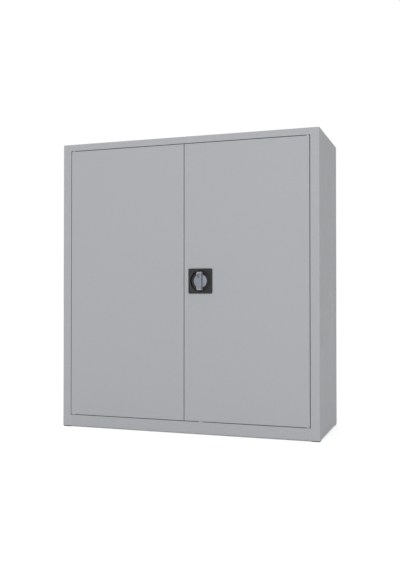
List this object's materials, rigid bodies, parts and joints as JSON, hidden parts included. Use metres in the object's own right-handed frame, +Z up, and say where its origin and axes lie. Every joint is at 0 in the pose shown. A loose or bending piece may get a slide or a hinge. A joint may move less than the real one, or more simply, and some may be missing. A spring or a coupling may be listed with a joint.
{
  "type": "metal storage cabinet",
  "caption": "Wide low sheet-steel cabinet with flush hinged doors, a rotary grip lock with rods, shelves on slotted uprights and low feet.",
  "frame": {"origin": "on the floor, at the centre of the whole object's width and depth, the depth taken from the nose of the grip to the back", "axes": "+Z up, +X to the viewer's right when the doors are seen, +Y from the doors to the back"},
  "size_m": [0.915, 0.369, 1],
  "materials": {
    "body_paint": "light grey powder coat, satin with a fine orange-peel texture",
    "zinc_plated_steel": "bright zinc plate, satin",
    "zinc_die_cast": "die-cast zinc alloy, matt",
    "satin_chrome": "satin chrome plate",
    "black_plastic": "black moulded plastic, fine texture",
    "grip_plastic": "silver-grey moulded plastic, satin",
    "grey_nylon": "light grey nylon",
    "foot_plastic": "dark grey moulded plastic",
    "buffer_rubber": "black rubber"
  },
  "bodies": {
    "carcass": {"side_panel_left": "body_paint", "side_panel_right": "body_paint", "top_panel": "body_paint", "bottom_panel": "body_paint", "back_panel": "body_paint", "upright_front_left": "body_paint", "upright_front_right": "body_paint", "upright_rear_left": "body_paint", "upright_rear_right": "body_paint", "shelf_1": "body_paint", "shelf_2": "body_paint", "shelf_stiffener_1": "body_paint", "shelf_stiffener_2": "body_paint", "shelf_clips_1": "zinc_plated_steel", "shelf_clips_2": "zinc_plated_steel", "pivot_pins_lower": "zinc_plated_steel", "pivot_pins_upper": "zinc_plated_steel", "door_buffers": "buffer_rubber", "door_glide": "grey_nylon", "foot_front_left": "foot_plastic", "foot_front_right": "foot_plastic", "foot_rear_left": "foot_plastic", "foot_rear_right": "foot_plastic"},
    "left_door": {"door_left": "body_paint", "door_stiffener_left": "body_paint", "pivot_bushes_left": "grey_nylon"},
    "right_door": {"door_right": "body_paint", "door_stiffener_right": "body_paint", "pivot_bushes_right": "grey_nylon", "lock_housing": "black_plastic", "lock_cover": "zinc_plated_steel", "cover_screws": "zinc_plated_steel", "housing_screws": "zinc_plated_steel", "rod_guides": "black_plastic", "rod_straps": "zinc_plated_steel"},
    "handle": {"handle_grip": "grip_plastic", "cylinder_barrel": "satin_chrome", "drive_spindle": "zinc_plated_steel", "drive_pinion": "zinc_die_cast", "lock_tongue": "zinc_plated_steel", "end_screw": "zinc_plated_steel"},
    "key_plug": {"key_plug": "satin_chrome"},
    "upper_rod": {"upper_rod": "zinc_plated_steel"},
    "lower_rod": {"lower_rod": "zinc_plated_steel"}
  },
  "joints": [
    {"name": "left_door_hinge", "type": "hinge", "parent": "carcass", "child": "left_door", "pos_m": [-0.418, -0.1595, 0.5], "axis": [0, 0, -1], "range_deg": [0, 110]},
    {"name": "right_door_hinge", "type": "hinge", "parent": "carcass", "child": "right_door", "pos_m": [0.418, -0.1595, 0.5], "axis": [0, 0, 1], "range_deg": [0, 110]},
    {"name": "handle_turn", "type": "hinge", "parent": "right_door", "child": "handle", "pos_m": [0.0585, -0.1655, 0.512], "axis": [0, 1, 0], "range_deg": [0, 90]},
    {"name": "key_turn", "type": "hinge", "parent": "handle", "child": "key_plug", "pos_m": [0.0585, -0.1835, 0.529], "axis": [0, 1, 0], "range_deg": [0, 90]},
    {"name": "upper_rod_slide", "type": "slide", "parent": "right_door", "child": "upper_rod", "axis": [0, 0, 1], "range_m": [0, 0.0118]},
    {"name": "lower_rod_slide", "type": "slide", "parent": "right_door", "child": "lower_rod", "axis": [0, 0, -1], "range_m": [0, 0.0118]}
  ],
  "couplings": [
    {"joint": "upper_rod_slide", "follows": "handle_turn", "m_per_rad": 0.0075},
    {"joint": "lower_rod_slide", "follows": "handle_turn", "m_per_rad": 0.0075}
  ]
}
